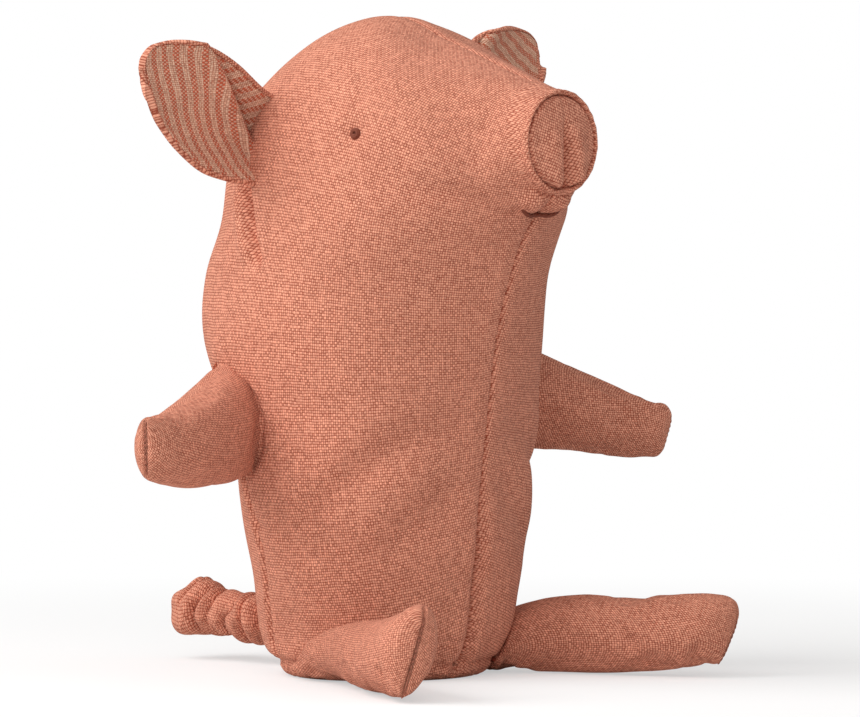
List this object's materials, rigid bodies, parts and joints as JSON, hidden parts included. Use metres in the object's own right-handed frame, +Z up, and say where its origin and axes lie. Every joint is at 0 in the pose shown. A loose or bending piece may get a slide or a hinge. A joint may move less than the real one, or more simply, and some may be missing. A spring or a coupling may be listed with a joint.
{
  "type": "plush pig",
  "caption": "Seated plush pig of plain woven cloth: long stuffed body and head in one, flat round snout, striped ear linings, soft limbs and a gathered tail, each turning on its seam.",
  "frame": {"origin": "middle of the flat underside of the base, where the pig stands", "axes": "+Z up, -Y the way the snout points, -X the pig's right side"},
  "size_m": [0.2105, 0.1802, 0.1992],
  "materials": {
    "cloth": "matt plain weave, terracotta pink",
    "base_cloth": "matt plain weave, the same cloth seen darker underneath",
    "lining": "matt weave with red-brown and beige stripes",
    "thread": "matt embroidery floss, dark red-brown",
    "stuffing": "loose polyester fibre, off-white",
    "elastic": "covered round elastic, off-white"
  },
  "bodies": {
    "body": {"right_side_panel": "cloth", "left_side_panel": "cloth", "base_panel": "base_cloth", "snout_disc": "cloth", "body_filling": "stuffing", "right_eye": "thread", "left_eye": "thread", "mouth_stitch": "thread"},
    "right_ear": {"right_ear_back": "cloth", "right_ear_lining": "lining"},
    "right_arm": {"right_arm_cover": "cloth", "right_arm_filling": "stuffing"},
    "right_leg": {"right_leg_cover": "cloth", "right_leg_filling": "stuffing"},
    "left_ear": {"left_ear_back": "cloth", "left_ear_lining": "lining"},
    "left_arm": {"left_arm_cover": "cloth", "left_arm_filling": "stuffing"},
    "left_leg": {"left_leg_cover": "cloth", "left_leg_filling": "stuffing"},
    "tail": {"tail_cover": "cloth", "tail_elastic": "elastic"}
  },
  "joints": [
    {"name": "right_arm_seam", "type": "hinge", "parent": "body", "child": "right_arm", "pos_m": [-0.04438, 0.01912, 0.07956], "axis": [-0.0358, 0.2454, 0.9687], "range_deg": [-38, 12], "stiffness_Nm_per_rad": 0.12},
    {"name": "right_leg_seam", "type": "hinge", "parent": "body", "child": "right_leg", "pos_m": [-0.03325, -0.01159, 0.00443], "axis": [0.3746, -0.9272, 0], "range_deg": [-22, 60], "stiffness_Nm_per_rad": 0.3},
    {"name": "right_ear_seam", "type": "hinge", "parent": "body", "child": "right_ear", "pos_m": [-0.03698, 0.01912, 0.16065], "axis": [0.3655, 0.1427, 0.9198], "range_deg": [-15, 18], "stiffness_Nm_per_rad": 0.02},
    {"name": "left_arm_seam", "type": "hinge", "parent": "body", "child": "left_arm", "pos_m": [0.04438, 0.01912, 0.07956], "axis": [0.0358, 0.2454, 0.9687], "range_deg": [-12, 38], "stiffness_Nm_per_rad": 0.12},
    {"name": "left_leg_seam", "type": "hinge", "parent": "body", "child": "left_leg", "pos_m": [0.03325, -0.01159, 0.00443], "axis": [-0.3746, -0.9272, 0], "range_deg": [-60, 22], "stiffness_Nm_per_rad": 0.3},
    {"name": "left_ear_seam", "type": "hinge", "parent": "body", "child": "left_ear", "pos_m": [0.03698, 0.01912, 0.16065], "axis": [-0.3655, 0.1427, 0.9198], "range_deg": [-18, 15], "stiffness_Nm_per_rad": 0.02},
    {"name": "tail_seam", "type": "hinge", "parent": "body", "child": "tail", "pos_m": [0, 0.03677, 0.01108], "axis": [0, 0, 1], "range_deg": [-30, 30], "stiffness_Nm_per_rad": 0.04}
  ]
}
